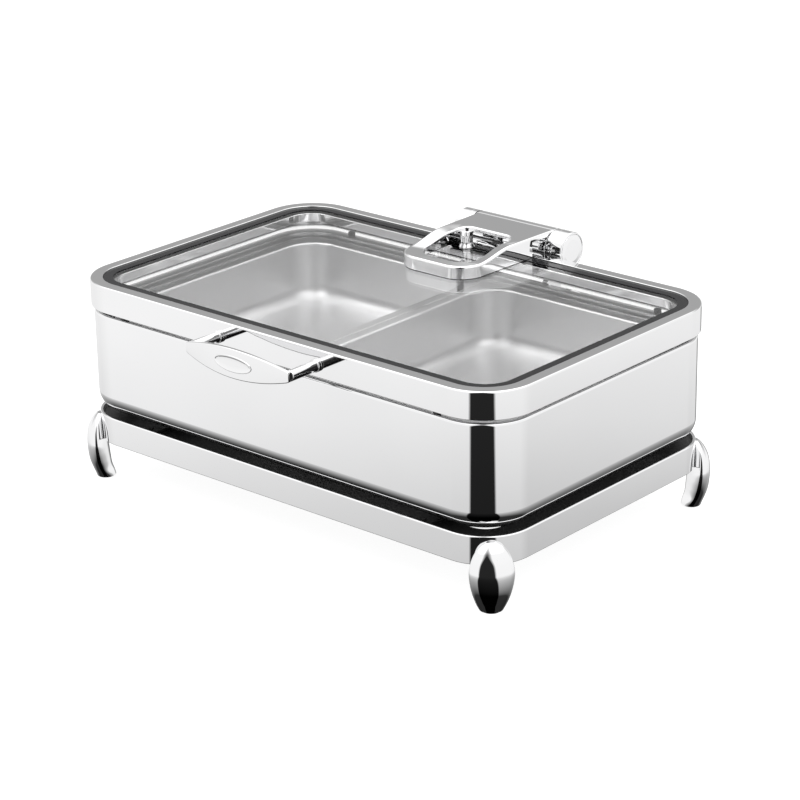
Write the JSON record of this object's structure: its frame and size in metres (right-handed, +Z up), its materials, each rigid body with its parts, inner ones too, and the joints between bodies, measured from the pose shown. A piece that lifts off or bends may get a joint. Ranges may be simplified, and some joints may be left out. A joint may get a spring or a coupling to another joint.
{
  "type": "electric buffet server",
  "caption": "Rectangular polished steel electric chafer with a hinged glass lid, divided food pans and a legged heater stand.",
  "frame": {"origin": "centre of the stand's footprint, on the surface it rests on", "axes": "+X to the user's right along the long side, +Y to the back where the hinge is, +Z up"},
  "size_m": [0.5854, 0.469, 0.2486],
  "materials": {
    "polished_steel": "mirror-polished stainless steel",
    "chrome_parts": "mirror-polished, cast and machined",
    "satin_steel": "satin stainless steel",
    "plain_steel": "plain cold-rolled stainless steel",
    "dark_enamel": "black heat-resistant coating",
    "screw_steel": "machined stainless steel",
    "bearing_brass": "machined brass",
    "damper_metal": "dark painted damper cartridge",
    "rubber": "matt black silicone rubber",
    "black_gasket": "glossy black silicone",
    "black_plastic": "heat-resistant black plastic",
    "rocker_plastic": "glossy red plastic",
    "lamp_lens": "amber plastic lens",
    "cream_ceramic": "unglazed technical ceramic",
    "insulation": "mineral fibre blanket",
    "element_sheath": "heat-darkened steel sheath",
    "cast_aluminium": "machined cast aluminium",
    "wire_sleeve": "glass-fibre sleeved wire",
    "clear_glass": "clear tempered glass"
  },
  "bodies": {
    "stand": {"stand_ring": "polished_steel", "stand_shelf": "dark_enamel", "leg_front_left": "chrome_parts", "leg_front_right": "chrome_parts", "leg_rear_left": "chrome_parts", "leg_rear_right": "chrome_parts", "foot_glides": "rubber", "leg_screws": "screw_steel", "rail_left": "dark_enamel", "rail_right": "dark_enamel", "rail_pads": "rubber", "rail_screws": "dark_enamel", "heater_tray": "plain_steel", "heater_insulation": "insulation", "heating_element": "element_sheath", "heater_plate": "cast_aluminium", "heater_brackets": "plain_steel", "control_box": "black_plastic", "control_panel": "plain_steel", "thermostat": "cream_ceramic", "switch_body": "black_plastic", "power_inlet": "black_plastic", "inlet_pins": "bearing_brass", "indicator_lamp": "lamp_lens", "terminal_block": "cream_ceramic", "wire_grommet": "rubber", "supply_wires": "wire_sleeve", "element_wires": "wire_sleeve", "thermal_cutout": "cream_ceramic", "control_screws": "screw_steel"},
    "thermostat_dial": {"thermostat_shaft": "screw_steel", "thermostat_knob": "black_plastic"},
    "power_rocker": {"switch_rocker": "rocker_plastic"},
    "pan_left": {"food_pan_left": "satin_steel"},
    "pan_right": {"food_pan_right": "satin_steel"},
    "vessel": {"water_pan": "polished_steel", "pan_rim": "plain_steel", "pan_support_bar": "satin_steel", "lid_bumpers": "rubber", "hinge_base": "chrome_parts", "hinge_base_screws": "screw_steel", "hinge_pin": "screw_steel", "hinge_cap_left": "chrome_parts", "hinge_cap_right": "chrome_parts"},
    "lid": {"lid_frame": "polished_steel", "glass_panel": "clear_glass", "glass_gasket": "black_gasket", "handle_posts": "chrome_parts", "handle_grip": "chrome_parts", "handle_badge": "chrome_parts", "handle_screws": "screw_steel", "hinge_arm": "chrome_parts", "hinge_bushes": "bearing_brass", "hinge_damper": "damper_metal", "clamp_posts": "chrome_parts", "clamp_plate": "plain_steel", "clamp_bolts": "screw_steel"}
  },
  "joints": [
    {"name": "vessel_lift", "type": "slide", "parent": "stand", "child": "vessel", "axis": [0, 0, 1], "range_m": [0, 0.05]},
    {"name": "lid_hinge", "type": "hinge", "parent": "vessel", "child": "lid", "pos_m": [0, 0.212, 0.228], "axis": [-1, 0, 0], "range_deg": [0, 90]},
    {"name": "pan_left_lift", "type": "slide", "parent": "vessel", "child": "pan_left", "axis": [0, 0, 1], "range_m": [0, 0.01]},
    {"name": "pan_right_lift", "type": "slide", "parent": "vessel", "child": "pan_right", "axis": [0, 0, 1], "range_m": [0, 0.01]},
    {"name": "thermostat_turn", "type": "hinge", "parent": "stand", "child": "thermostat_dial", "pos_m": [0.04, 0.176, 0.0309], "axis": [0, -1, 0], "range_deg": [0, 270]},
    {"name": "rocker_tilt", "type": "hinge", "parent": "stand", "child": "power_rocker", "pos_m": [0.003, 0.175, 0.0309], "axis": [-1, 0, 0], "range_deg": [0, 14]}
  ]
}
